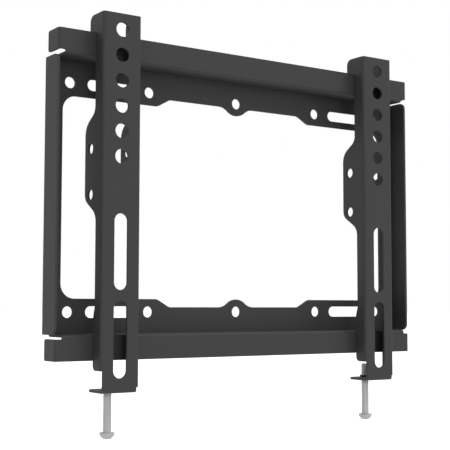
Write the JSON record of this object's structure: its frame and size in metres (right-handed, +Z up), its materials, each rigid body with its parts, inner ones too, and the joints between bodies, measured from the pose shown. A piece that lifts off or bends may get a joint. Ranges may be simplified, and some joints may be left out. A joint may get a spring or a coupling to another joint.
{
  "type": "tv mount",
  "caption": "Low-profile wall mount for a flat screen: a folded wall plate with a large opening, hook-on channel brackets with holes and slots, and locking screws.",
  "frame": {"origin": "on the wall plane, in the middle of the wall plate", "axes": "+X to the right as seen from the room, +Y towards the wall, +Z up"},
  "size_m": [0.2728, 0.0285, 0.2488],
  "materials": {
    "plate_coat": "fine satin powder coat, near-black grey",
    "bracket_coat": "fine satin powder coat, near-black grey",
    "zinc": "dull bright zinc plating"
  },
  "bodies": {
    "wall_plate": {"wall_plate": "plate_coat"},
    "left_tv_bracket": {"left_tv_bracket": "bracket_coat"},
    "right_tv_bracket": {"right_tv_bracket": "bracket_coat"},
    "left_locking_screw": {"left_locking_screw": "zinc"},
    "right_locking_screw": {"right_locking_screw": "zinc"}
  },
  "joints": [
    {"name": "left_bracket_slide", "type": "slide", "parent": "wall_plate", "child": "left_tv_bracket", "axis": [1, 0, 0], "range_m": [-0.022, 0.0868]},
    {"name": "right_bracket_slide", "type": "slide", "parent": "wall_plate", "child": "right_tv_bracket", "axis": [1, 0, 0], "range_m": [-0.0868, 0.022]},
    {"name": "left_screw_travel", "type": "slide", "parent": "left_tv_bracket", "child": "left_locking_screw", "axis": [0, 0, 1], "range_m": [-0.0073, 0.0207]},
    {"name": "right_screw_travel", "type": "slide", "parent": "right_tv_bracket", "child": "right_locking_screw", "axis": [0, 0, 1], "range_m": [-0.0073, 0.0207]}
  ]
}
